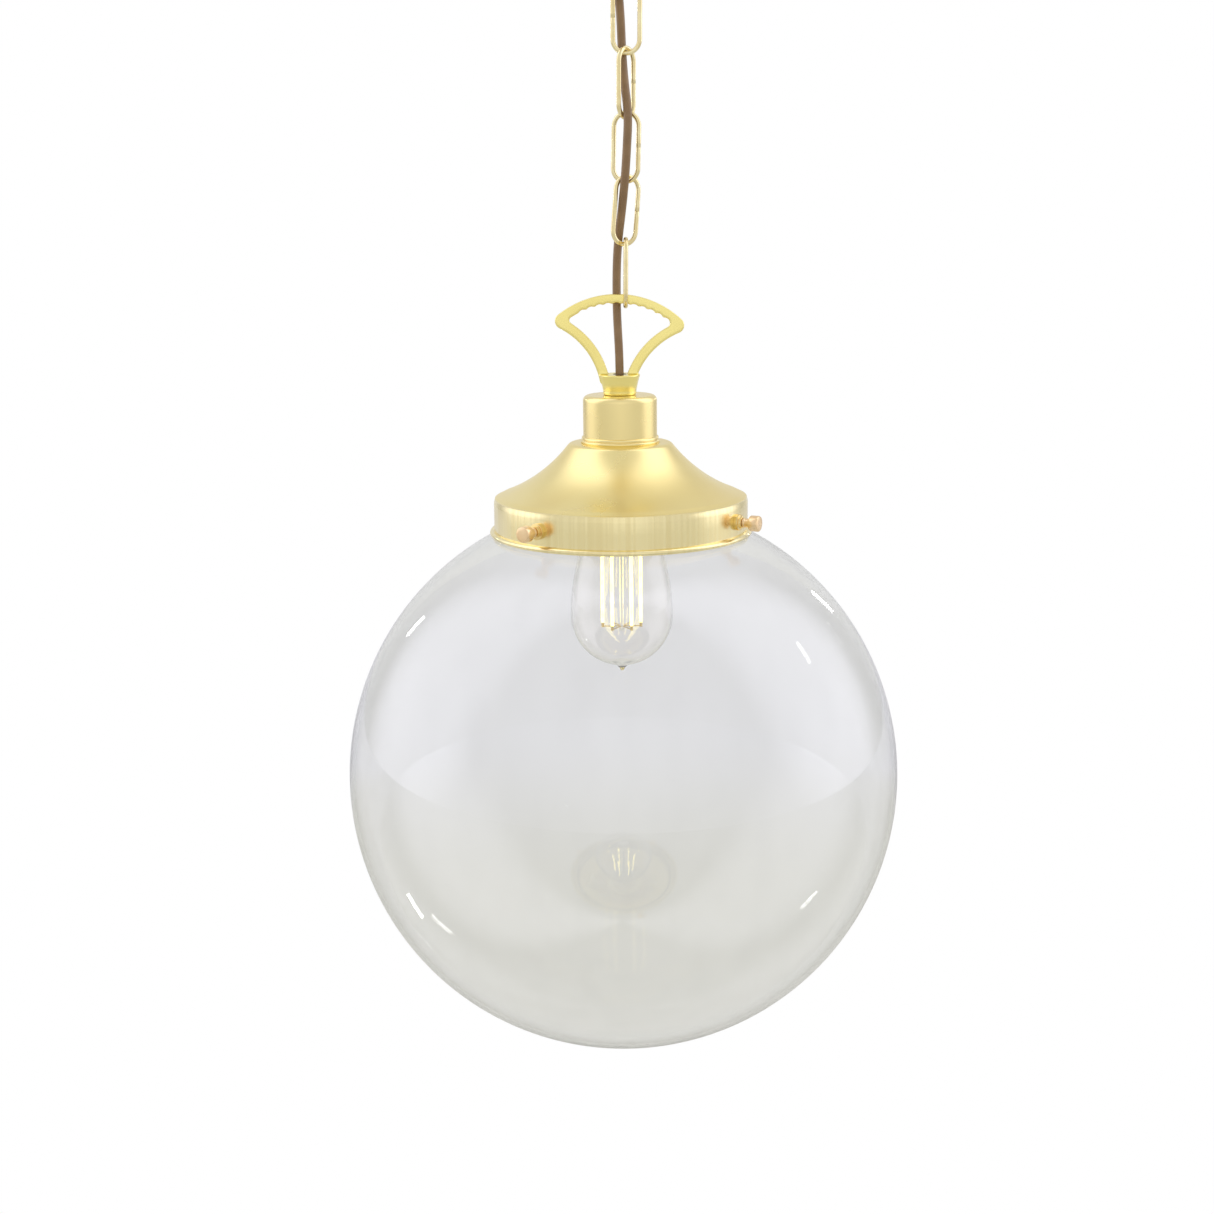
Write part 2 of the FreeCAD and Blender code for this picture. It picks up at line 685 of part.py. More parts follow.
def bulb_stem():
    """The glass mount: a flared foot in the neck, a pressed stem and a post to the bottom."""
    low = FILAMENT_Z[0]
    return turned([(0, CAP_LOW - 1), (10.5, CAP_LOW - 1), (6.0, CAP_LOW - 7), (4.0, 5.0), (3.4, -4.0),
                   (1.5, -7.0), (1.2, low - 2.0), (0, low - 2.5)])


def filament_spots(count=FILAMENTS):
    return [radial(360.0 / count * (i + 0.5)) * FILAMENT_RING_R for i in range(count)]


def bulb_filaments():
    low, high = FILAMENT_Z
    length = high - low - 2 * FILAMENT_CAP
    foot = Vector(0, 0, low + FILAMENT_CAP)
    return group([cylinder(0.8, spot + foot, length) for spot in filament_spots()])


def bulb_supports():
    """A wire from the stem to the end of each filament, with its metal end cap."""
    low, high = FILAMENT_Z
    supports = []
    for spot in filament_spots():
        out = Vector(spot.x, spot.y, 0).normalize()
        for level, bore, end in ((low, 1.5, low), (high, 2.7, high - FILAMENT_CAP)):
            arm = cylinder(0.35, out * bore + Vector(0, 0, level + 0.5), FILAMENT_RING_R - bore, out)
            cap = cylinder(0.9, spot + Vector(0, 0, end), FILAMENT_CAP)
            supports.append(arm.fuse(cap))
    return group(supports)


# ---- flex ----
def flex_route():
    ends = [tuple(lamp_point(0, 0, z)) for z in FLEX_HUB]
    return list(FLEX_ROUTE) + ends


def flex_cuts():
    """Heights where the flex is split: the middle of each link, highest first."""
    return link_heights()[0][::-1]


def flex_pieces():
    whole, path, radii = cable(flex_route(), FLEX_R)
    print("flex length %.1f, arc radii %s" % (path.Length, ", ".join("%.0f" % r for r in radii)))
    error = whole.Volume / (math.pi * FLEX_R ** 2 * path.Length) - 1
    print("flex volume against section times length: %+.4f" % error)
    levels = [0.0] + flex_cuts() + [-400.0]
    pieces = []
    for high, low in zip(levels, levels[1:]):
        slab = Part.makeBox(100, 100, high - low, Vector(-50, -50, low))
        pieces.append(whole.common(slab))
    return pieces


def nodes():
    centres = link_heights()[0]
    shapes = {"mounting_bracket": mounting_bracket(), "rose_nipple": rose_nipple(), "rose_nuts": rose_nuts(),
              "rose_cover": rose_cover(), "rose_loop": rose_loop(), "rose_bush": rose_bush(),
              "terminal_block": terminal_block(), "terminal_screws": terminal_screws(),
              "rose_flex": rose_flex(), "rose_core_wires": rose_core_wires()}
    for i, (turn, lean, height) in enumerate(zip(TURNS, LEANS, centres)):
        shapes["chain_link_%d" % (i + 1)] = chain_link(turn, lean, height)
    for i, piece in enumerate(flex_pieces()):
        shapes["flex_%d" % (len(centres) + 1 - i)] = piece
    band = gallery()
    lamp = {"suspension_loop": suspension_loop(), "cord_bush": cord_bush(), "lamp_nipple": lamp_nipple(),
            "neck_cup": neck_cup(), "cup_nut": cup_nut(), "gallery": band, "screw_bosses": screw_bosses(band),
            "glass_globe": glass_globe(), "holder_cap": holder_cap(), "holder_body": holder_body(),
            "shade_ring": shade_ring(), "holder_insulator": holder_insulator(),
            "holder_thread": holder_thread(), "holder_contact": holder_contact(),
            "holder_terminals": holder_terminals(), "lamp_flex": lamp_flex(),
            "lamp_core_wires": lamp_core_wires(), "bulb_glass": bulb_glass(), "bulb_cap": bulb_cap(),
            "bulb_insulator": bulb_insulator(), "bulb_contact": bulb_contact(), "bulb_stem": bulb_stem(),
            "bulb_filaments": bulb_filaments(), "bulb_supports": bulb_supports()}
    for i, azimuth in enumerate(SCREW_AZIMUTHS):
        lamp["thumb_screw_%d" % (i + 1)] = thumb_screw(azimuth)
    for name, shape in lamp.items():
        shapes[name] = hung(shape)
    return shapes


def main():
    os.makedirs("parts", exist_ok=True)
    for name, shape in nodes().items():
        if not shape.isValid() or not shape.Solids:
            print("check", name, shape.isValid(), len(shape.Solids))
        shape.exportStep("parts/%s.step" % name)


if __name__ == "__main__":
    main()
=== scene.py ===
"""Globe pendant light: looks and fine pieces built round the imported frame. Metres, +Z up.

The origin is on the ceiling, on the axis of the rose. The lamp's own pieces are shaped upright
about their axis, with z = 0 at the middle of the gallery's bead, and then hung like the CAD lamp.
"""

import json
import math

import bmesh
import bpy
from mathutils import Matrix, Vector


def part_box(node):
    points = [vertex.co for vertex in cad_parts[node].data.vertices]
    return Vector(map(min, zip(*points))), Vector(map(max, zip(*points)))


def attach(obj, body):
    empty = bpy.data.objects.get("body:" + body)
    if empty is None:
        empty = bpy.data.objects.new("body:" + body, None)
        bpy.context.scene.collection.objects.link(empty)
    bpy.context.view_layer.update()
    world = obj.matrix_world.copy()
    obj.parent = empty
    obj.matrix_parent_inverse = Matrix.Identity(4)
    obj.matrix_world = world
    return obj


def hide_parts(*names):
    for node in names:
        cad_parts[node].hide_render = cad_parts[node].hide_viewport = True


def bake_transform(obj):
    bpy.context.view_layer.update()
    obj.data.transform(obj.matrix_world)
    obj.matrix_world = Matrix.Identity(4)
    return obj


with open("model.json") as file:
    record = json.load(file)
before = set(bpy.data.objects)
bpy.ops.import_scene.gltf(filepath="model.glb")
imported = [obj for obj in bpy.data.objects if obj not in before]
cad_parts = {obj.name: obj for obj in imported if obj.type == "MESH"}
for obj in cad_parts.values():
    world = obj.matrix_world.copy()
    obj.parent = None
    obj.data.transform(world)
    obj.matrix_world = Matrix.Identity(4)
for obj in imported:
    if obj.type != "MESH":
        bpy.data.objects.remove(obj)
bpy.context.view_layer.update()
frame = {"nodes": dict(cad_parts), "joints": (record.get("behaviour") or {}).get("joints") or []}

MM = 0.001
FULL_TURN = 2 * math.pi
UP = Vector((0, 0, 1))

# ---- the maker's sizes, in millimetres ----
WIRE_R = 1.4
LINK_LENGTH = 42.65
LINK_WIDTH = 18.6
TURNS = (90.0, 31.0, -21.0, 56.0, 0.0, 90.0)
LEANS = (0.0, 4.5, 1.0, 0.0, 0.0, 0.0)
SEAM_SIDES = (1, 1, 1, 1, -1, 1)
FLEX_R = 2.55
FLEX_ROUTE = (
    (-14.0, 6.0, -29.7), (-14.0, 6.2, -44.0), (-11.6, 6.9, -60.5), (-7.4, 6.4, -78.5),
    (-4.8, 6.4, -97.0), (-3.2, 6.9, -115.5), (-2.5, 5.6, -133.9), (-1.0, -0.5, -152.4),
    (1.3, -6.6, -170.8), (0.5, -7.0, -189.3), (-0.6, -6.2, -207.7), (-2.4, -0.6, -226.2),
    (-4.7, 5.4, -244.6), (-5.4, 6.6, -259.0), (-5.5, 6.4, -273.5), (-5.2, 5.0, -288.5),
    (-4.3, 2.0, -303.5), (-3.655, 0.0, -316.455), (-3.529, 0.0, -328.455),
)
ROSE_R = 54.0
ROSE_DEPTH = 34.0
SCREW_AZIMUTHS = (-38.5, 62.0, 193.5)
SCREW_Z = 10.5
CAP_MIDDLE = 35.35
CREASE_Z = 21.2         # where the band's polish meets the satin cone
FILAMENT_Z = (-62.0, -6.0)
FILAMENT_RING_R = 12.0
GLOBE_R = 173.6
SEAM_DEEP = 0.16        # how far the wire narrows at a link's seam
SEAM_HIGH = 0.14

# ---- where the lamp hangs ----
joints = {joint["name"]: joint for joint in frame["joints"]}
down = Vector(joints["globe_drop"]["axis"])
lean = math.atan2(-down.x, -down.z)
cap_low, cap_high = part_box("bulb_cap")
lamp_foot = (cap_low + cap_high) / 2 + down * CAP_MIDDLE * MM
HANG = Matrix.Translation(lamp_foot) @ Matrix.Rotation(lean, 4, "Y")
HOME = Matrix.Identity(4)


# ---- camera and cords ----
def add_camera():
    """Stands 1.14 m in front, a little above the lamp, and looks down by 12.5 degrees."""
    spot, dip = (-0.0113, -1.1376, -0.2175), 12.5
    data = bpy.data.cameras.new("camera")
    data.lens = 55.0
    data.sensor_width = 36.0
    data.clip_end = 100.0
    camera = bpy.data.objects.new("camera", data)
    camera.location = spot
    camera.rotation_euler = (math.radians(90 - dip), 0, 0)
    bpy.context.scene.collection.objects.link(camera)
    bpy.context.scene.camera = camera


def place(mesh, name, body):
    """A finished mesh as a piece that moves with a body."""
    piece = bpy.data.objects.new(name, mesh)
    bpy.context.scene.collection.objects.link(piece)
    if body:
        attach(piece, body)
    return piece


def finish_mesh(bm, name, sharp=35.0, matrix=HOME, recalc=True):
    """Merges seams, turns faces outwards, shades smooth and moves the shape to its place."""
    bmesh.ops.remove_doubles(bm, verts=bm.verts, dist=1e-6)
    if recalc:
        bmesh.ops.recalc_face_normals(bm, faces=bm.faces)
    bm.transform(matrix)
    mesh = bpy.data.meshes.new(name)
    bm.to_mesh(mesh)
    bm.free()
    mesh.shade_smooth()
    mesh.set_sharp_from_angle(angle=math.radians(sharp))
    return mesh


def flex_line():
    """Points along the flex's smooth line, read from its spline."""
    curve = bpy.data.curves.new("flex_line", "CURVE")
    curve.dimensions = "3D"
    curve.resolution_u = 10
    spline = curve.splines.new("NURBS")
    spline.points.add(len(FLEX_ROUTE) - 1)
    for point, place_mm in zip(spline.points, FLEX_ROUTE):
        point.co = (*(c * MM for c in place_mm), 1)
    spline.order_u = 3
    spline.use_endpoint_u = True
    holder = bpy.data.objects.new("flex_line", curve)
    bpy.context.scene.collection.objects.link(holder)
    bpy.context.view_layer.update()
    mesh = bpy.data.meshes.new_from_object(holder)
    points = [v.co.copy() for v in mesh.vertices]
    bpy.data.objects.remove(holder)
    bpy.data.meshes.remove(mesh)
    return points


def between(points, high, low):
    """The stretch of a falling line between two heights, with a point exactly at each."""
    stretch = []
    for a, b in zip(points, points[1:]):
        for level in (high, low):
            if a.z > level >= b.z:
                stretch.append(a.lerp(b, (a.z - level) / (a.z - b.z)))
        if low < b.z < high:
            stretch.append(b.copy())
    if points[0].z <= high:
        stretch.insert(0, points[0].copy())
    if points[-1].z >= low:
        stretch.append(points[-1].copy())
    stretch.sort(key=lambda p: -p.z)
    return [p for i, p in enumerate(stretch) if i == 0 or (p - stretch[i - 1]).length > 2e-4]


def tube_mesh(name, points, radius):
    """A round tube drawn along a line of points, closed at both ends."""
    sides = 24
    bm = bmesh.new()
    turn = UP.rotation_difference(points[1] - points[0]).to_matrix().to_4x4()
    bmesh.ops.create_circle(bm, segments=sides, radius=radius,
                            matrix=Matrix.Translation(points[0]) @ turn)
    rim = list(bm.edges)
    heading = (points[1] - points[0]).normalized()
    for i in range(1, len(points)):
        after = points[min(i + 1, len(points) - 1)]
        ahead = (after - points[i - 1]).normalized()
        grown = bmesh.ops.extrude_edge_only(bm, edges=rim)["geom"]
        verts = [g for g in grown if isinstance(g, bmesh.types.BMVert)]
        rim = [g for g in grown if isinstance(g, bmesh.types.BMEdge)]
        swing = heading.rotation_difference(ahead).to_matrix().to_4x4()
        move = Matrix.Translation(points[i]) @ swing @ Matrix.Translation(-points[i - 1])
        bmesh.ops.transform(bm, matrix=move, verts=verts)
        heading = ahead
    bmesh.ops.holes_fill(bm, edges=[e for e in bm.edges if e.is_boundary], sides=sides)
    return finish_mesh(bm, name)


def add_flex(finish):
    """The flex in seven stretches, each spanning one joint of the chain."""
    line = flex_line()
    middles = [sum(corner.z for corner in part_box("chain_link_%d" % n)) / 2 for n in range(6, 0, -1)]
    levels = [line[0].z] + middles + [line[-1].z]
    hinges = ["link_%d_swing" % n for n in range(6, 0, -1)] + ["lamp_swing"]
    for i, hinge in enumerate(hinges):
        name = "flex_%d" % (7 - i)
        points = between(line, levels[i], levels[i + 1])
        piece = place(tube_mesh("cord_" + name, points, FLEX_R * MM), "cord_" + name, None)
        piece.data.materials.append(finish)
        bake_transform(piece)
        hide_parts(name)


# ---- node groups ----
def make_group(name, inputs, outputs):
    """An empty shader group with named sockets. Returns it with what it is given and what it puts out."""
    tree = bpy.data.node_groups.new(name, "ShaderNodeTree")
    for label, kind, value in inputs:
        socket = tree.interface.new_socket(label, in_out="INPUT", socket_type="NodeSocket" + kind)
        if value is not None:
            socket.default_value = value
    for label, kind in outputs:
        tree.interface.new_socket(label, in_out="OUTPUT", socket_type="NodeSocket" + kind)
    start = tree.nodes.new("NodeGroupInput")
    end = tree.nodes.new("NodeGroupOutput")
    return tree, start.outputs, end.inputs


def node(tree, kind, inputs=(), **settings):
    """A shader node with settings, its inputs given as values or as sockets to link."""
    made = tree.nodes.new("ShaderNode" + kind)
    for key, value in settings.items():
        setattr(made, key, value)
    for key, value in dict(inputs).items():
        if isinstance(value, bpy.types.NodeSocket):
            tree.links.new(value, made.inputs[key])
        else:
            made.inputs[key].default_value = value
    return made


def math_node(tree, operation, a, b=0.0, c=0.0):
    """One sum on up to three values."""
    return node(tree, "Math", {0: a, 1: b, 2: c}, operation=operation).outputs[0]


def mixed(tree, factor, a, b):
    """A colour mix."""
    return node(tree, "Mix", {0: factor, 6: a, 7: b}, data_type="RGBA").outputs[2]


def spread(tree, value, low, high, to_low, to_high):
    """A soft step from one value to another as the input goes from low to high."""
    return node(tree, "MapRange", {0: value, 1: low, 2: high, 3: to_low, 4: to_high},
                interpolation_type="SMOOTHSTEP").outputs[0]


def tone_group():
    """Slow drifts of colour and a few small cloudy marks, as on handled and lacquered metal."""
    tree, given, out = make_group("soft_tone", [("Vector", "Vector", None), ("Light", "Color", None),
                                                ("Deep", "Color", None), ("Size", "Float", 12.0),
                                                ("Marks", "Float", 0.1)], [("Color", "Color")])
    drift = node(tree, "TexNoise", {"Vector": given["Vector"], "Scale": given["Size"], "Detail": 3.0})
    spots = node(tree, "TexNoise", {"Vector": given["Vector"], "Scale": 210.0, "Detail": 4.0})
    base = mixed(tree, spread(tree, drift.outputs[0], 0.32, 0.68, 0.0, 1.0), given["Light"], given["Deep"])
    mark = math_node(tree, "MULTIPLY", spread(tree, spots.outputs[0], 0.62, 0.72, 0.0, 1.0), given["Marks"])
    tree.links.new(mixed(tree, mark, base, given["Deep"]), out["Color"])
    return tree


def polish_group():
    """Roughness and height of a hand-polished face: soft patches, fine hairlines and pinholes."""
    tree, given, out = make_group("polish", [("Vector", "Vector", None), ("Low", "Float", 0.1),
                                             ("High", "Float", 0.2), ("Size", "Float", 30.0)],
                                  [("Roughness", "Float"), ("Height", "Float")])
    patches = node(tree, "TexNoise", {"Vector": given["Vector"], "Scale": given["Size"], "Detail": 5.0})
    fine = node(tree, "TexNoise", {"Vector": given["Vector"], "Scale": 900.0, "Detail": 3.0})
    stretched = node(tree, "VectorMath", {0: given["Vector"], 1: (260.0, 260.0, 2600.0)},
                     operation="MULTIPLY")
    hair = node(tree, "TexNoise", {"Vector": stretched.outputs[0], "Scale": 1.0, "Detail": 2.0})
    share = spread(tree, patches.outputs[0], 0.3, 0.72, 0.0, 1.0)
    width = math_node(tree, "SUBTRACT", given["High"], given["Low"])
    tree.links.new(math_node(tree, "MULTIPLY_ADD", share, width, given["Low"]), out["Roughness"])
    height = math_node(tree, "MULTIPLY_ADD", fine.outputs[0], 0.4,
                       math_node(tree, "MULTIPLY", hair.outputs[0], 0.6))
    tree.links.new(height, out["Height"])
    return tree


def lathe_group():
    """Fine rings round the Z axis, on upright and on flat faces alike, as a lathe leaves them."""
    tree, given, out = make_group("lathe_rings", [("Vector", "Vector", None), ("Per Metre", "Float", 900.0)],
                                  [("Height", "Float"), ("Turn", "Float")])
    parts = node(tree, "SeparateXYZ", {0: given["Vector"]}).outputs
    squares = math_node(tree, "MULTIPLY_ADD", parts[0], parts[0],
                        math_node(tree, "MULTIPLY", parts[1], parts[1]))
    reach = math_node(tree, "ADD", math_node(tree, "SQRT", squares),
                      math_node(tree, "MULTIPLY", parts[2], 1.3))
    rings = node(tree, "TexNoise", {"W": math_node(tree, "MULTIPLY", reach, given["Per Metre"]), "Scale": 1.0,
                                    "Detail": 3.0}, noise_dimensions="1D")
    tree.links.new(rings.outputs[0], out["Height"])
    tree.links.new(math_node(tree, "ARCTAN2", parts[0], parts[1]), out["Turn"])
    return tree


def streak_group():
    """Upright streaks round a polished band, some wide and some thin, from 0 to 1."""
    tree, given, out = make_group("upright_streaks", [("Turn", "Float", 0.0), ("Thin", "Float", 24.0)],
                                  [("Mask", "Float")])
    thin_turn = math_node(tree, "MULTIPLY", given["Turn"], given["Thin"])
    thin = node(tree, "TexNoise", {"W": thin_turn, "Scale": 1.0, "Detail": 4.0}, noise_dimensions="1D")
    wide_turn = math_node(tree, "MULTIPLY", given["Turn"], 4.2)
    wide = node(tree, "TexNoise", {"W": wide_turn, "Scale": 1.0, "Detail": 1.0}, noise_dimensions="1D")
    both = math_node(tree, "MULTIPLY_ADD", thin.outputs[0], 0.55,
                     math_node(tree, "MULTIPLY", wide.outputs[0], 0.45))
    tree.links.new(spread(tree, both, 0.36, 0.64, 0.0, 1.0), out["Mask"])
    return tree


def blown_group():
    """Slow waves and faint drawn lines in blown glass."""
    tree, given, out = make_group("blown_waves", [("Vector", "Vector", None), ("Size", "Float", 9.0)],
                                  [("Height", "Float"), ("Veil", "Float")])
    waves = node(tree, "TexNoise", {"Vector": given["Vector"], "Scale": given["Size"], "Detail": 1.5})
    stretched = node(tree, "VectorMath", {0: given["Vector"], 1: (60.0, 60.0, 5.0)}, operation="MULTIPLY")
    drawn = node(tree, "TexNoise", {"Vector": stretched.outputs[0], "Scale": 1.0, "Detail": 3.0})
    height = math_node(tree, "MULTIPLY_ADD", drawn.outputs[0], 0.05, waves.outputs[0])
    tree.links.new(height, out["Height"])
    tree.links.new(spread(tree, drawn.outputs[0], 0.4, 0.75, 0.0, 1.0), out["Veil"])
    return tree


GROUPS = {"tone": tone_group(), "polish": polish_group(), "lathe": lathe_group(), "streaks": streak_group(),
          "blown": blown_group()}


def use(tree, group, inputs):
    """A shared group placed in a material with its own values."""
    made = tree.nodes.new("ShaderNodeGroup")
    made.node_tree = GROUPS[group]
    for key, value in inputs.items():
        if isinstance(value, bpy.types.NodeSocket):
            tree.links.new(value, made.inputs[key])
        else:
            made.inputs[key].default_value = value
    return made.outputs


def start_material(name, centre=None):
    """A new material with its Principled node, and Object coordinates centred on a piece."""
    material = bpy.data.materials.new(name)
    material.use_nodes = True
    tree = material.node_tree
    shader = next(n for n in tree.nodes if n.type == "BSDF_PRINCIPLED")
    where = tree.nodes.new("ShaderNodeTexCoord").outputs["Object"]
    if centre is not None:
        turned = node(tree, "Mapping", {"Vector": where, "Location": centre, "Rotation": (0, lean, 0)},
                      vector_type="TEXTURE")
        where = turned.outputs[0]
    return material, tree, shader, where


def bump(tree, shader, height, strength, distance):
    """Fine relief on the material's normal, its depth in metres."""
    made = node(tree, "Bump", {"Height": height, "Strength": strength, "Distance": distance})
    tree.links.new(made.outputs[0], shader.inputs["Normal"])


def brass(name, light, deep, low, high, rings=0.0, centre=None, size=14.0, marks=0.12, relief=0.05):
    """Polished or satin brass, with lathe rings where it was spun."""
    material, tree, shader, where = start_material(name, centre)
    tone = use(tree, "tone", {"Vector": where, "Light": (*light, 1), "Deep": (*deep, 1), "Size": size,
                              "Marks": marks})
    polish = use(tree, "polish", {"Vector": where, "Low": low, "High": high})
    tree.links.new(tone["Color"], shader.inputs["Base Color"])
    tree.links.new(polish["Roughness"], shader.inputs["Roughness"])
    shader.inputs["Metallic"].default_value = 1.0
    height = polish["Height"]
    if rings:
        lathe = use(tree, "lathe", {"Vector": where})
        height = math_node(tree, "MULTIPLY_ADD", lathe["Height"], rings, height)
    bump(tree, shader, height, relief, 0.00005)
    return material


def gallery_brass():
    """Satin cone over a mirror-bright band with upright streaks. The streaks are rougher and raised, and the
    band's colour is painted darker in them as a streaky reflection.
    """
    material, tree, shader, where = start_material("spun_brass", lamp_foot)
    lathe = use(tree, "lathe", {"Vector": where, "Per Metre": 1500.0})
    streaks = use(tree, "streaks", {"Turn": lathe["Turn"], "Thin": 26.0})
    tone = use(tree, "tone", {"Vector": where, "Light": (0.94, 0.80, 0.38, 1), "Deep": (0.89, 0.73, 0.32, 1),
                              "Size": 16.0, "Marks": 0.25})
    polish = use(tree, "polish", {"Vector": where, "Low": 0.26, "High": 0.34, "Size": 24.0})
    height_m = node(tree, "SeparateXYZ", {0: where}).outputs[2]
    on_band = spread(tree, height_m, 0.0212, 0.0215, 1.0, 0.0)
    # painted reflection: the band's colour is lighter between the upright streaks and darker in them,
    # standing in for streaky reflections
    band_painted_reflection = mixed(tree, streaks["Mask"], (0.96, 0.84, 0.48, 1), (0.89, 0.76, 0.41, 1))
    tree.links.new(mixed(tree, on_band, tone["Color"], band_painted_reflection), shader.inputs["Base Color"])
    band_rough = math_node(tree, "MULTIPLY_ADD", streaks["Mask"], 0.10, 0.17)
    satin = math_node(tree, "MULTIPLY", polish["Roughness"], math_node(tree, "SUBTRACT", 1.0, on_band))
    rough = math_node(tree, "MULTIPLY_ADD", on_band, band_rough, satin)
    tree.links.new(rough, shader.inputs["Roughness"])
    shader.inputs["Metallic"].default_value = 1.0
    relief = math_node(tree, "MULTIPLY_ADD", streaks["Mask"], 0.8, lathe["Height"])
    bump(tree, shader, math_node(tree, "MULTIPLY_ADD", polish["Height"], 0.3, relief), 0.04, 0.0001)
    return material


def glass(name, tint, size, relief, centre=None):
    """Clear glass with slow waves. Its walls are real, so each face bends the light."""
    material, tree, shader, where = start_material(name, centre)
    blown = use(tree, "blown", {"Vector": where, "Size": size})
    hazy = tuple(c * 0.985 for c in tint)
    tree.links.new(mixed(tree, blown["Veil"], (*tint, 1), (*hazy, 1)), shader.inputs["Base Color"])
    tree.links.new(spread(tree, blown["Veil"], 0.2, 1.0, 0.0, 0.03), shader.inputs["Roughness"])
    shader.inputs["Transmission Weight"].default_value = 1.0
    shader.inputs["IOR"].default_value = 1.5
    bump(tree, shader, blown["Height"], relief, 0.0006)
    return material


def plain(name, light, deep, rough, metallic=0.0, size=60.0, relief=0.08, coat=0.0):
    """Moulded plastic, porcelain, plated steel and other plain finishes."""
    material, tree, shader, where = start_material(name)
    tone = use(tree, "tone", {"Vector": where, "Light": (*light, 1), "Deep": (*deep, 1), "Size": size,
                              "Marks": 0.2})
    polish = use(tree, "polish", {"Vector": where, "Low": rough, "High": rough + 0.1, "Size": size})
    tree.links.new(tone["Color"], shader.inputs["Base Color"])
    tree.links.new(polish["Roughness"], shader.inputs["Roughness"])
    shader.inputs["Metallic"].default_value = metallic
    shader.inputs["Coat Weight"].default_value = coat
    bump(tree, shader, polish["Height"], relief, 0.00005)
    return material


def glowing():
    """Phosphor rods of the lit bulb: a warm body, a shade hotter in patches."""
    material, tree, shader, where = start_material("lit_filament")
    tone = use(tree, "tone", {"Vector": where, "Light": (1.0, 0.90, 0.33, 1), "Deep": (1.0, 0.84, 0.24, 1),
                              "Size": 220.0, "Marks": 0.0})
    tree.links.new(tone["Color"], shader.inputs["Base Color"])
    tree.links.new(tone["Color"], shader.inputs["Emission Color"])
    shader.inputs["Emission Strength"].default_value = 3.4
    shader.inputs["Roughness"].default_value = 0.6
    return material


def make_finishes():
    """Every finish of the lamp by its short name."""
    return {
        "brass": brass("polished_brass", (0.95, 0.79, 0.38), (0.89, 0.72, 0.32), 0.22, 0.3, rings=0.5,
                       centre=lamp_foot),
        "rose": brass("rose_brass", (0.93, 0.80, 0.41), (0.87, 0.71, 0.33), 0.12, 0.22, rings=0.6,
                      centre=Vector((0, 0, 0))),
        "gallery": gallery_brass(),
        "loop": brass("cast_brass", (1.0, 0.87, 0.335), (0.965, 0.82, 0.295), 0.2, 0.26,
                      marks=0.04, relief=0.03),
        "chain": brass("wire_brass", (0.93, 0.82, 0.50), (0.82, 0.68, 0.36), 0.14, 0.26, size=90.0, marks=0.3,
                       relief=0.1),
        "screw": brass("turned_brass", (0.96, 0.72, 0.44), (0.90, 0.64, 0.36), 0.22, 0.3, size=160.0,
                       marks=0.2),
        "boss": brass("boss_brass", (0.92, 0.72, 0.34), (0.82, 0.60, 0.24), 0.16, 0.24, size=120.0,
                      marks=0.2),
        "holder": brass("holder_brass", (0.86, 0.74, 0.44), (0.76, 0.62, 0.34), 0.25, 0.38),
        "shell": plain("plated_shell", (0.80, 0.74, 0.60), (0.70, 0.63, 0.48), 0.22, metallic=1.0),
        "steel": plain("zinc_plate", (0.68, 0.68, 0.70), (0.55, 0.56, 0.60), 0.3, metallic=1.0),
        "solder": plain("solder", (0.62, 0.62, 0.62), (0.5, 0.5, 0.52), 0.35, metallic=1.0),
        "porcelain": plain("porcelain", (0.92, 0.91, 0.87), (0.86, 0.84, 0.79), 0.12, coat=0.4),
        "black_glass": plain("black_glass", (0.02, 0.02, 0.02), (0.05, 0.04, 0.04), 0.1),
        "flex": plain("brown_sheath", (0.285, 0.172, 0.080), (0.235, 0.138, 0.062), 0.32, size=80.0,
                      relief=0.15),
        "core": plain("core_sheath", (0.30, 0.19, 0.11), (0.24, 0.15, 0.08), 0.35),
        "bush": plain("moulded_bush", (0.10, 0.065, 0.04), (0.07, 0.045, 0.03), 0.4),
        "block": plain("terminal_block", (0.86, 0.86, 0.83), (0.78, 0.78, 0.75), 0.4),
        "wire": plain("support_wire", (0.86, 0.68, 0.34), (0.74, 0.56, 0.26), 0.25, metallic=1.0),
        "globe": glass("globe_glass", (0.985, 0.986, 0.980), 8.0, 0.35, centre=lamp_foot),
        "bulb": glass("bulb_glass", (1.0, 0.992, 0.980), 40.0, 0.1),
        "filament": glowing(),
    }


# ---- shaping ----
def bow(centre, radius, start, end, steps):
    """Points on an arc in the (radius, height) plane, angles in degrees."""
    return [(centre[0] + radius * math.cos(math.radians(start + (end - start) * i / steps)),
             centre[1] + radius * math.sin(math.radians(start + (end - start) * i / steps)))
            for i in range(steps + 1)]


def spun_mesh(name, outline, steps=128, matrix=HOME, closed=True, sharp=30.0):
    """A lathe shape: the outline, in millimetres of radius and height, spun round the Z axis."""
    bm = bmesh.new()
    verts = [bm.verts.new((max(r, 0.0) * MM, 0, z * MM)) for r, z in outline]
    edges = [bm.edges.new(pair) for pair in zip(verts, verts[1:])]
    if closed:
        edges.append(bm.edges.new((verts[-1], verts[0])))
    bmesh.ops.spin(bm, geom=verts + edges, cent=(0, 0, 0), axis=(0, 0, 1), dvec=(0, 0, 0), angle=FULL_TURN,
                   steps=steps, use_merge=True, use_normal_flip=False, use_duplicate=False)
    bmesh.ops.dissolve_degenerate(bm, edges=bm.edges, dist=1e-7)
    return finish_mesh(bm, name, sharp, matrix)


def add_piece(name, mesh, body, finish, nodes):
    """A shaped piece in its finish, standing in for one or more solids."""
    piece = place(mesh, name, body)
    piece.data.materials.clear()
    piece.data.materials.append(finish)
    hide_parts(*nodes)
    return piece


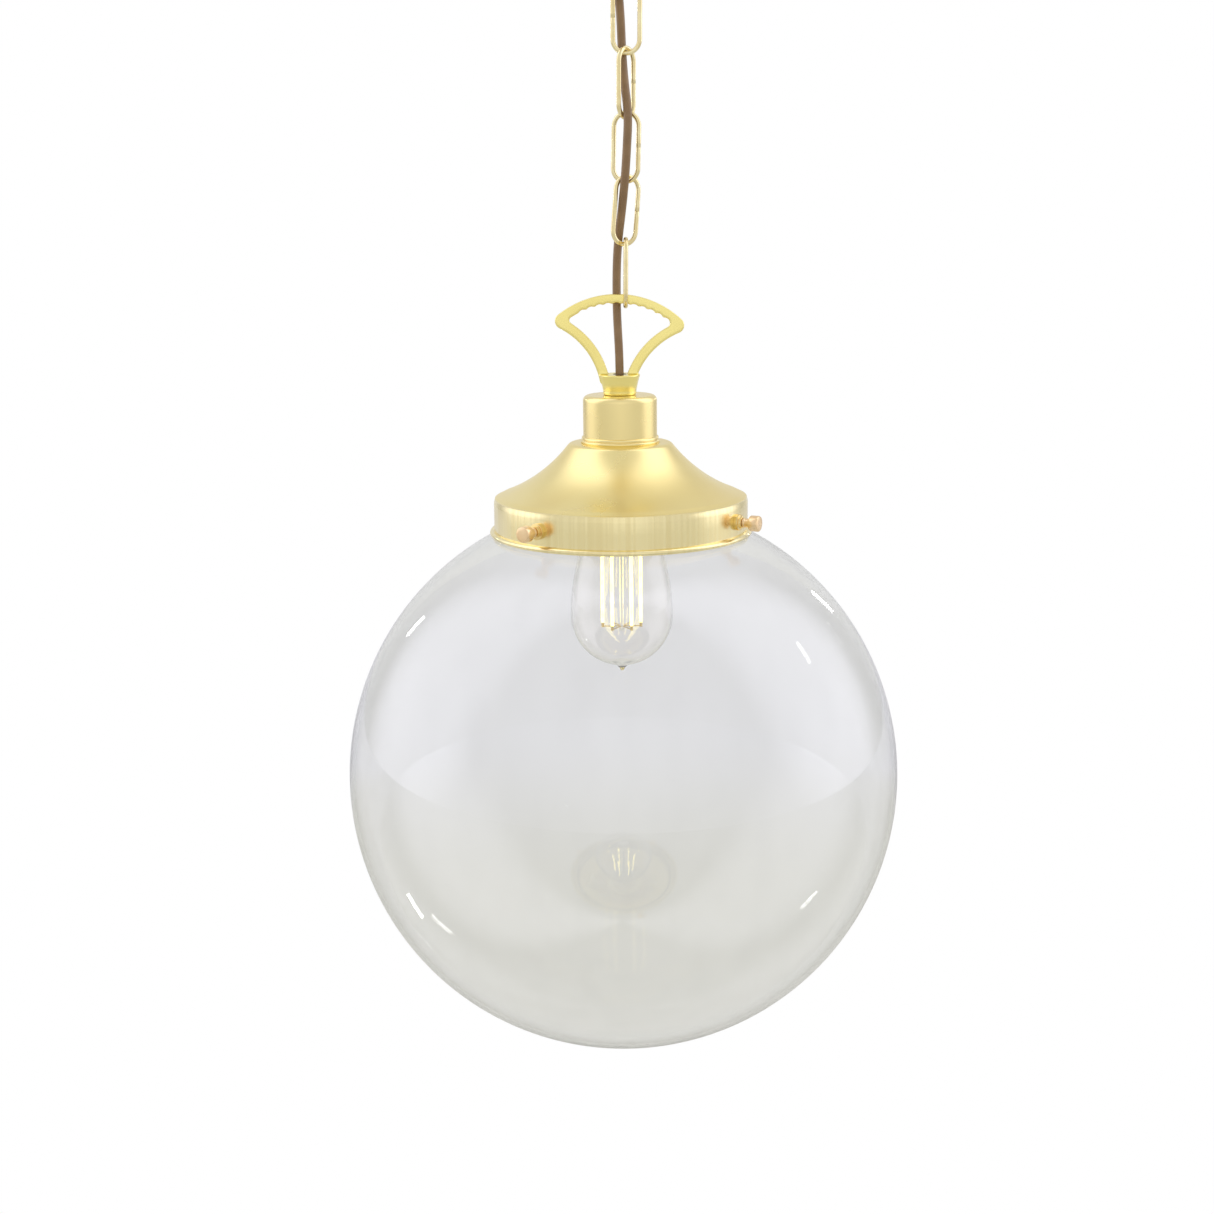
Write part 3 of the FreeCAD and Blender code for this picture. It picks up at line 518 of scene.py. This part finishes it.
def softened_mesh(node_name, name, width):
    """A merged copy of a CAD piece, its sharp edges rounded by a width in millimetres."""
    flat, corner = math.radians(1.0), math.radians(30.0)
    bm = bmesh.new()
    bm.from_mesh(frame["nodes"][node_name].data)
    bmesh.ops.remove_doubles(bm, verts=bm.verts, dist=1e-6)
    bmesh.ops.dissolve_limit(bm, angle_limit=flat, verts=bm.verts, edges=bm.edges)
    if width:
        edges = [e for e in bm.edges if e.is_manifold and e.calc_face_angle() > corner]
        bmesh.ops.bevel(bm, geom=edges, offset=width * MM, segments=3, affect="EDGES", profile=0.5,
                        material=-1, clamp_overlap=False)
    return finish_mesh(bm, name, recalc=False)


def cast_mesh(node_name, name, extra, grain, passes):
    """A copy of a CAD piece run together with extra metal, every edge soft from tumbling."""
    bm = bmesh.new()
    bm.from_mesh(frame["nodes"][node_name].data)
    bm.from_mesh(extra)
    bmesh.ops.remove_doubles(bm, verts=bm.verts, dist=1e-6)
    rough = finish_mesh(bm, name + "_rough", recalc=False)
    holder = bpy.data.objects.new(name + "_rough", rough)
    bpy.context.scene.collection.objects.link(holder)
    even = holder.modifiers.new("even", "REMESH")
    even.mode = "VOXEL"
    even.voxel_size = grain * MM
    solved = holder.evaluated_get(bpy.context.evaluated_depsgraph_get())
    bm = bmesh.new()
    bm.from_mesh(solved.to_mesh())
    solved.to_mesh_clear()
    bpy.data.objects.remove(holder)
    bpy.data.meshes.remove(rough)
    for _ in range(passes):
        bmesh.ops.smooth_vert(bm, verts=bm.verts, factor=0.5,
                              use_axis_x=True, use_axis_y=True, use_axis_z=True)
    return finish_mesh(bm, name, 180.0, recalc=False)


# ---- chain ----
def link_mesh(name, turn, lean_deg, centre, seam_side):
    """An oval link bent from round wire, with the butt seam of its ends in one leg."""
    arch = LINK_WIDTH / 2 - WIRE_R
    half = LINK_LENGTH / 2 - WIRE_R - arch
    end_r = WIRE_R - SEAM_DEEP
    full = WIRE_R / end_r
    bend_steps, leg_steps = 24, 4
    bm = bmesh.new()
    start = Matrix.Translation((seam_side * arch * MM, 0, 0))
    bmesh.ops.create_circle(bm, segments=20, radius=end_r * MM, matrix=start)
    rim = list(bm.edges)

    def grow(matrix, edges, times=1):
        """Draws the wire on by equal moves and returns its new rim."""
        for _ in range(times):
            grown = bmesh.ops.extrude_edge_only(bm, edges=edges)["geom"]
            verts = [g for g in grown if isinstance(g, bmesh.types.BMVert)]
            bmesh.ops.transform(bm, matrix=matrix, verts=verts)
            edges = [g for g in grown if isinstance(g, bmesh.types.BMEdge)]
        return edges

    def swell(factor):
        """Widens or narrows the wire beside the seam."""
        return (Matrix.Translation((seam_side * arch * MM, 0, SEAM_HIGH * MM))
                @ Matrix.Diagonal((factor, factor, 1, 1)) @ start.inverted())

    def bend_about(height):
        """One step round the arch whose middle is at this height."""
        about = Vector((0, 0, height * MM))
        swing = Matrix.Rotation(-seam_side * math.pi / bend_steps, 4, "Y")
        return Matrix.Translation(about) @ swing @ Matrix.Translation(-about)

    rise = Matrix.Translation((0, 0, (half - SEAM_HIGH) / leg_steps * MM))
    fall = Matrix.Translation((0, 0, -half / leg_steps * MM))
    rim = grow(swell(full), rim)
    rim = grow(rise, rim, leg_steps)
    rim = grow(bend_about(half), rim, bend_steps)
    rim = grow(fall, rim, 2 * leg_steps)
    rim = grow(bend_about(-half), rim, bend_steps)
    rim = grow(rise, rim, leg_steps)
    grow(swell(1 / full), rim)
    turned = (Matrix.Translation(centre) @ Matrix.Rotation(math.radians(turn), 4, "Z")
              @ Matrix.Rotation(math.radians(lean_deg), 4, "Y"))
    return finish_mesh(bm, name, 60.0, turned)


def add_chain(finish):
    """The six links, each on its own body."""
    for i, (turn, lean_deg, side) in enumerate(zip(TURNS, LEANS, SEAM_SIDES)):
        node_name = "chain_link_%d" % (i + 1)
        low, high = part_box(node_name)
        mesh = link_mesh("oval_link_%d" % (i + 1), turn, lean_deg, (low + high) / 2, side)
        add_piece("oval_link_%d" % (i + 1), mesh, "link_%d" % (i + 1), finish, [node_name])


# ---- gallery, cup and screws ----
def gallery_outline():
    """The outside from the bead to the hole, then the inside back down."""
    band_r, band_high, corner_r, flank_r = 78.6, 15.6, 8.5, 95.6
    edge_r, flat_r, top, wall = 4.3, 29.1, 55.0, 1.2
    rim_r, hole_r = 25.0, 19.8
    bead_middle, bead_r = (79.8, 0.0), 1.6
    corner = (band_r - corner_r, band_high)
    edge = (flat_r, top - edge_r)
    dx, dz = edge[0] - corner[0], edge[1] - corner[1]
    span = math.hypot(dx, dz)
    r1, r2 = flank_r + corner_r, flank_r + edge_r
    along = (r1 * r1 - r2 * r2 + span * span) / (2 * span)
    across = math.sqrt(r1 * r1 - along * along)
    flank = (corner[0] + (along * dx + across * dz) / span, corner[1] + (along * dz - across * dx) / span)
    low_turn = math.degrees(math.atan2(flank[1] - corner[1], flank[0] - corner[0]))
    high_turn = math.degrees(math.atan2(flank[1] - edge[1], flank[0] - edge[0]))
    outside = [(band_r, 1.5), (band_r, 5.0), (band_r, 10.0), (band_r, 17.6), (band_r - 0.1, 18.8),
               (band_r - 0.35, 19.9), (band_r - 0.6, CREASE_Z - 0.4), (band_r - 0.6, CREASE_Z),
               (band_r - 0.9, CREASE_Z + 0.15), (band_r - 1.4, CREASE_Z + 0.25), (band_r - 2.3, 22.0)]
    outside += bow(corner, corner_r, 57, low_turn, 8)
    outside += bow(flank, flank_r, low_turn + 180, high_turn + 180, 28)[1:]
    outside += bow(edge, edge_r, high_turn, 90, 8)[1:]
    outside += [(rim_r, top), (hole_r, top)]
    inside = [(hole_r, top - wall), (rim_r, top - wall)]
    inside += bow(edge, edge_r - wall, 90, high_turn, 8)
    inside += bow(flank, flank_r + wall, high_turn + 180, low_turn + 180, 28)[1:]
    inside += bow(corner, corner_r - wall, low_turn, 0, 10)[1:]
    inside += [(band_r - wall, 10.0), (band_r - wall, 0.4)]
    bead = bow(bead_middle, bead_r, 160, 360, 14) + bow(bead_middle, bead_r, 0, 118, 10)[1:]
    return outside, inside, bead


def cup_outline():
    """The neck cup: a rolled flange, a straight side, a round shoulder and a flat top with its hole."""
    cup_r, flange_r, shoulder_r, hole_r = 22.7, 23.7, 3.4, 5.05
    low, top, wall = 55.0, 84.1, 1.1
    shoulder = (cup_r - shoulder_r, top - shoulder_r)
    outline = [(cup_r - wall, low), (flange_r + 0.3, low), (flange_r + 0.5, low + 0.3),
               (flange_r + 0.5, low + 1.3), (flange_r + 0.2, low + 1.7), (flange_r - 0.35, low + 1.9),
               (flange_r - 0.35, low + 2.3), (flange_r, low + 2.6), (flange_r, low + 3.3),
               (flange_r - 0.4, low + 3.8), (cup_r, low + 4.0), (cup_r, low + 12.0), (cup_r, top - 3.6)]
    outline += bow(shoulder, shoulder_r, 2, 90, 10)
    outline += [(12.0, top), (hole_r, top), (hole_r, top - wall), (12.0, top - wall)]
    outline += bow(shoulder, shoulder_r - wall, 90, 2, 8)
    return outline


def add_gallery(finishes):
    """The spun gallery with its rolled bead, and the cup on its neck."""
    outside, inside, bead = gallery_outline()
    mesh = spun_mesh("spun_gallery", bead + outside + inside, 192, HANG, sharp=40.0)
    add_piece("spun_gallery", mesh, "lamp", finishes["gallery"], ["gallery"])
    mesh = spun_mesh("neck_cup_spun", cup_outline(), 128, HANG, sharp=40.0)
    add_piece("neck_cup_spun", mesh, "lamp", finishes["brass"], ["neck_cup"])


def screw_outline():
    """Tip, shank, neck and plain head of a thumb screw."""
    return [(0, 73.6), (1.4, 75.0), (1.95, 75.6), (2.0, 76.2), (2.0, 82.9), (2.5, 82.9), (2.9, 83.2),
            (2.9, 84.0), (2.65, 84.4), (2.65, 86.4), (2.9, 87.0), (2.9, 87.5), (4.0, 87.6), (4.55, 87.85),
            (4.8, 88.3), (4.8, 92.7), (4.7, 93.1), (4.4, 93.45), (3.9, 93.6), (2.0, 93.6), (0, 93.58)]


def add_screws(finishes):
    """The three thumb screws, pointing at the lamp's axis."""
    for i, azimuth in enumerate(SCREW_AZIMUTHS):
        outwards = (Matrix.Translation((0, 0, SCREW_Z * MM))
                    @ Matrix.Rotation(math.radians(azimuth), 4, "Z")
                    @ Matrix.Rotation(math.radians(90), 4, "X"))
        mesh = spun_mesh("turned_screw_%d" % (i + 1), screw_outline(), 48, HANG @ outwards, closed=False)
        add_piece("turned_screw_%d" % (i + 1), mesh, "screw_%d" % (i + 1), finishes["screw"],
                  ["thumb_screw_%d" % (i + 1)])


# ---- glass ----
def globe_outline():
    """The outer wall up from the bottom, over the lip, and the inner wall back down."""
    globe_z, wall, neck_r, fillet, lip_r = -156.4, 3.0, 73.0, 9.0, 76.5
    low, high = 12.8, 17.3
    fillet_r = neck_r + fillet
    fillet_z = globe_z + math.sqrt((GLOBE_R + fillet) ** 2 - fillet_r ** 2)
    shoulder = math.degrees(math.atan2(fillet_z - globe_z, fillet_r))
    outer = bow((0, globe_z), GLOBE_R, -90, shoulder, 84)
    outer += bow((fillet_r, fillet_z), fillet, shoulder + 180, 180, 8)[1:]
    outer += [(neck_r, low), (lip_r - 1.2, low), (lip_r - 0.2, low + 0.8), (lip_r, low + 1.4),
              (lip_r, high - 1.0), (lip_r - 0.3, high - 0.3), (lip_r - 1.0, high),
              (neck_r - wall + 0.6, high), (neck_r - wall, high - 0.6)]
    inner = bow((fillet_r, fillet_z), fillet + wall, 180, shoulder + 180, 8)
    inner += bow((0, globe_z), GLOBE_R - wall, shoulder, -90, 84)[1:]
    return outer + inner


def bulb_outline():
    """Pear-shaped wall with the sealed pip at the foot."""
    wide_r, wide_z, side_r, neck_r, shoulder_r = 32.0, -54.0, 130.0, 13.4, 35.0
    wall, top = 0.9, 23.4
    side = wide_r - side_r
    out_r = neck_r + shoulder_r
    turn = math.degrees(math.acos((out_r - side) / (side_r + shoulder_r)))
    shoulder = (out_r, wide_z + (side_r + shoulder_r) * math.sin(math.radians(turn)))
    bottom = wide_z - wide_r
    outer = [(0, bottom - 4.2), (0.9, bottom - 4.0), (1.5, bottom - 3.3), (2.1, bottom - 2.2),
             (3.0, bottom - 1.2), (4.4, bottom - 0.1)]
    outer += bow((0, wide_z), wide_r, -80, 0, 26)
    outer += bow((side, wide_z), side_r, 0, turn, 16)[1:]
    outer += bow(shoulder, shoulder_r, turn + 180, 180, 10)[1:]
    outer.append((neck_r, top))
    inner = [(neck_r - wall, top)]
    inner += bow(shoulder, shoulder_r + wall, 180, turn + 180, 10)
    inner += bow((side, wide_z), side_r - wall, turn, 0, 16)[1:]
    inner += bow((0, wide_z), wide_r - wall, 0, -90, 28)[1:]
    return outer + inner


def add_glass(finishes):
    """The blown globe and the bulb's wall."""
    mesh = spun_mesh("blown_globe", globe_outline(), 160, HANG, closed=False, sharp=60.0)
    add_piece("blown_globe", mesh, "globe", finishes["globe"], ["glass_globe"])
    mesh = spun_mesh("bulb_wall", bulb_outline(), 96, HANG, closed=False, sharp=60.0)
    add_piece("bulb_wall", mesh, "bulb", finishes["bulb"], ["bulb_glass"])


# ---- rose ----
def circle_through(a, b, c):
    """The middle and the radius of the circle through three flat points."""
    squares = (a.length_squared, b.length_squared, c.length_squared)
    double = 2 * (a.x * (b.y - c.y) + b.x * (c.y - a.y) + c.x * (a.y - b.y))
    across = squares[0] * (b.y - c.y) + squares[1] * (c.y - a.y) + squares[2] * (a.y - b.y)
    up = squares[0] * (c.x - b.x) + squares[1] * (a.x - c.x) + squares[2] * (b.x - a.x)
    middle = (across / double, up / double)
    return middle, (a - Vector(middle)).length


def add_rose(finishes):
    """The domed ceiling rose with its rolled rim."""
    flat_r, rim, wall = 24.0, 5.0, 1.0
    low = Vector((flat_r, -ROSE_DEPTH))
    high = Vector((ROSE_R, -rim))
    middle, radius = circle_through(low, Vector((ROSE_R - 10.0, -ROSE_DEPTH + 9.5)), high)
    first = math.degrees(math.atan2(low.y - middle[1], low.x - middle[0]))
    last = math.degrees(math.atan2(high.y - middle[1], high.x - middle[0]))
    outline = [(5.0, -ROSE_DEPTH), (12.0, -ROSE_DEPTH), (flat_r - 0.4, -ROSE_DEPTH)]
    outline += bow(middle, radius, first, last, 26)
    outline += [(ROSE_R, -rim + 0.3), (ROSE_R + 0.5, -rim + 0.7), (ROSE_R + 0.7, -rim + 1.2),
                (ROSE_R + 0.7, -0.6), (ROSE_R + 0.2, 0), (ROSE_R - wall, 0), (ROSE_R - wall, -rim)]
    outline += bow(middle, radius - wall, last, first, 26)
    outline += [(12.0, -ROSE_DEPTH + wall), (5.0, -ROSE_DEPTH + wall)]
    mesh = spun_mesh("rose_dome", outline, 144, sharp=40.0)
    add_piece("rose_dome", mesh, "ceiling_rose", finishes["rose"], ["rose_cover"])


# ---- pieces that keep their CAD shape ----
# solid, piece, body, finish, slot, and the width of its rounded edges in millimetres
SOFTENED = (
    ("screw_bosses", "boss_set", "lamp", "boss", "turned_brass", 0.25),
    ("rose_loop", "rose_ring", "ceiling_rose", "rose", "brass", 0.0),
    ("cord_bush", "hub_bush", "lamp", "bush", "bush_plastic", 0.15),
    ("rose_bush", "rose_grommet", "ceiling_rose", "bush", "bush_plastic", 0.3),
    ("holder_body", "holder_skirt", "lamp", "holder", "holder_metal", 0.3),
    ("holder_cap", "holder_dome", "lamp", "holder", "holder_metal", 0.3),
    ("shade_ring", "shade_nut", "lamp", "brass", "brass", 0.3),
    ("mounting_bracket", "ceiling_bracket", "ceiling_rose", "steel", "zinc_steel", 0.3),
    ("bulb_cap", "screw_cap", "bulb", "shell", "screw_shell", 0.2),
    ("bulb_stem", "glass_mount", "bulb", "bulb", "bulb_glass", 0.0),
    ("bulb_supports", "filament_wires", "bulb", "wire", "support_wire", 0.0),
)
KEPT = {"rose_nipple": "rose", "rose_nuts": "rose", "terminal_block": "block", "terminal_screws": "steel",
        "rose_flex": "flex", "rose_core_wires": "core", "lamp_nipple": "brass", "cup_nut": "brass",
        "holder_insulator": "porcelain", "holder_thread": "shell", "holder_contact": "steel",
        "holder_terminals": "steel", "lamp_flex": "flex", "lamp_core_wires": "core",
        "bulb_insulator": "black_glass", "bulb_contact": "solder"}


def add_filaments(finish):
    """Six upright rods with rounded ends, a little inside the metal caps."""
    bm = bmesh.new()
    low, high = FILAMENT_Z
    outline = [(0, low + 2.6), (0.95, low + 2.9), (1.0, low + 3.2), (1.0, high - 3.2), (0.95, high - 2.9),
               (0, high - 2.6)]
    for i in range(6):
        turn = math.radians(60 * (i + 0.5))
        spot = Vector((math.sin(turn), -math.cos(turn), 0)) * FILAMENT_RING_R * MM
        verts = [bm.verts.new((spot.x + r * MM, spot.y, z * MM)) for r, z in outline]
        edges = [bm.edges.new(pair) for pair in zip(verts, verts[1:])]
        bmesh.ops.spin(bm, geom=verts + edges, cent=spot, axis=(0, 0, 1), dvec=(0, 0, 0), angle=FULL_TURN,
                       steps=16, use_merge=True, use_normal_flip=False, use_duplicate=False)
    mesh = finish_mesh(bm, "glowing_rods", 50.0, HANG)
    add_piece("glowing_rods", mesh, "bulb", finish, ["bulb_filaments"])


def add_cad_looks(finishes):
    """The cast loop run into its hub, the softened pieces, and finishes for the solids that stay."""
    flare = [(8.0, 85.6), (10.0, 85.6), (10.5, 88.2), (11.1, 90.8), (11.7, 93.6), (12.6, 96.2), (12.4, 96.7),
             (8.0, 96.7)]
    root = spun_mesh("hub_flare", flare, 96, HANG)
    loop = cast_mesh("suspension_loop", "fan_loop", root, grain=0.34, passes=18)
    bpy.data.meshes.remove(root)
    add_piece("fan_loop", loop, "lamp", finishes["loop"], ["suspension_loop"])
    for node_name, name, body, finish, slot, width in SOFTENED:
        mesh = softened_mesh(node_name, name, width)
        add_piece(name, mesh, body, finishes[finish], [node_name])
    for node_name, finish in KEPT.items():
        slots = frame["nodes"][node_name].material_slots
        for slot in slots:
            slot.material = finishes[finish]


# ---- studio ----
def add_world():
    """A pale studio: bright behind and at the sides, quieter in front and between."""
    world = bpy.data.worlds.new("studio")
    bpy.context.scene.world = world
    world.use_nodes = True
    tree = world.node_tree
    tree.nodes.clear()
    way = tree.nodes.new("ShaderNodeTexCoord").outputs["Generated"]
    parts = node(tree, "SeparateXYZ", {0: way}).outputs
    heading = math_node(tree, "ARCTAN2", parts[0], parts[1])
    turn = math_node(tree, "ABSOLUTE", heading)
    ramp = node(tree, "ValToRGB", {0: math_node(tree, "DIVIDE", turn, math.pi)})
    stops = ((0.0, 0.80), (0.14, 0.80), (0.22, 0.54), (0.36, 0.70), (0.62, 0.74), (0.74, 0.77), (1.0, 0.94))
    elements = ramp.color_ramp.elements
    while len(elements) < len(stops):
        elements.new(0.5)
    for element, (spot, shade) in zip(elements, stops):
        element.position = spot
        element.color = (shade, shade, shade * 0.995, 1)
    level = math_node(tree, "ABSOLUTE", parts[2])
    round_share = spread(tree, level, 0.35, 0.9, 1.0, 0.0)
    colour = mixed(tree, round_share, (0.77, 0.77, 0.77, 1), ramp.outputs[0])
    # soft boxes at the left and right: heading, height, width and glow
    boxes = ((-1.35, 0.50, 0.58, 0.80), (1.38, 0.52, 0.56, 0.90))
    box_height, coolness = 0.80, 1.14
    for sideways, high, width, glow in boxes:
        across = math_node(tree, "DIVIDE", math_node(tree, "SUBTRACT", heading, sideways), width)
        upright = math_node(tree, "DIVIDE", math_node(tree, "SUBTRACT", parts[2], high), box_height)
        reach = math_node(tree, "MULTIPLY_ADD", across, across, math_node(tree, "MULTIPLY", upright, upright))
        lit = math_node(tree, "MULTIPLY", spread(tree, reach, 0.1, 1.6, 1.0, 0.0), glow)
        cool = math_node(tree, "MULTIPLY", lit, coolness)
        box_light = node(tree, "CombineColor", {0: lit, 1: lit, 2: cool}).outputs[0]
        colour = node(tree, "Mix", {0: 1.0, 6: colour, 7: box_light}, data_type="RGBA",
                      blend_type="ADD").outputs[2]
    soft = node(tree, "Background", {"Color": colour, "Strength": 1.0})
    white = node(tree, "Background", {"Color": (1, 1, 1, 1), "Strength": 1.0})
    seen = tree.nodes.new("ShaderNodeLightPath").outputs["Is Camera Ray"]
    mix = node(tree, "MixShader", {0: seen, 1: soft.outputs[0], 2: white.outputs[0]})
    out = tree.nodes.new("ShaderNodeOutputWorld")
    tree.links.new(mix.outputs[0], out.inputs[0])


def add_light(name, spot, target, size, size_y, watts):
    """A soft rectangular light, aimed at its target."""
    data = bpy.data.lights.new(name, "AREA")
    data.shape = "RECTANGLE"
    data.size = size
    data.size_y = size_y
    data.energy = watts
    lamp = bpy.data.objects.new(name, data)
    lamp.location = spot
    lamp.rotation_euler = (Vector(target) - Vector(spot)).to_track_quat("-Z", "Y").to_euler()
    bpy.context.scene.collection.objects.link(lamp)


def add_floor():
    """A wide pale floor, 2.4 m under the ceiling."""
    bm = bmesh.new()
    bmesh.ops.create_circle(bm, cap_ends=True, segments=96, radius=14.0,
                            matrix=Matrix.Translation((0, 0, -2.4)))
    mesh = finish_mesh(bm, "floor", recalc=False)
    floor = bpy.data.objects.new("floor", mesh)
    bpy.context.scene.collection.objects.link(floor)
    material, tree, shader, where = start_material("pale_floor")
    away = node(tree, "SeparateXYZ", {0: where}).outputs[1]
    near, far = (0.67, 0.665, 0.60, 1), (0.735, 0.735, 0.74, 1)
    shade = mixed(tree, spread(tree, away, 4.2, 6.4, 0.0, 1.0), near, far)
    tone = use(tree, "tone", {"Vector": where, "Light": shade, "Deep": shade, "Size": 3.0, "Marks": 0.0})
    tree.links.new(tone["Color"], shader.inputs["Base Color"])
    shader.inputs["Roughness"].default_value = 0.7
    seen = tree.nodes.new("ShaderNodeLightPath").outputs["Is Camera Ray"]
    white = node(tree, "Emission", {"Color": (1, 1, 1, 1), "Strength": 1.0})
    mix = node(tree, "MixShader", {0: seen, 1: shader.outputs[0], 2: white.outputs[0]})
    out = next(n for n in tree.nodes if n.type == "OUTPUT_MATERIAL")
    tree.links.new(mix.outputs[0], out.inputs["Surface"])
    mesh.materials.append(material)


def add_studio():
    """The world, three faint strip lights behind the globe, and the floor."""
    bpy.context.scene.view_settings.view_transform = "Standard"
    add_world()
    globe_low, globe_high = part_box("glass_globe")
    middle = Vector(((globe_low.x + globe_high.x) / 2, 0, globe_low.z + GLOBE_R * MM))
    strips = (("right_strip", (0.506, 0.776, 0.20), 0.55), ("left_strip", (-0.627, 0.664, 0.25), 0.5),
              ("low_strip", (-0.754, 0.327, -0.62), 0.4))
    away, width, height = 2.2, 0.03, 0.22
    for name, way, watts in strips:
        spot = middle + Vector(way).normalized() * away
        add_light(name, spot, middle, width, height, watts)
    add_floor()


add_camera()
finishes = make_finishes()
add_flex(finishes["flex"])
add_studio()
add_chain(finishes["chain"])
add_gallery(finishes)
add_screws(finishes)
add_glass(finishes)
add_rose(finishes)
add_filaments(finishes["filament"])
add_cad_looks(finishes)
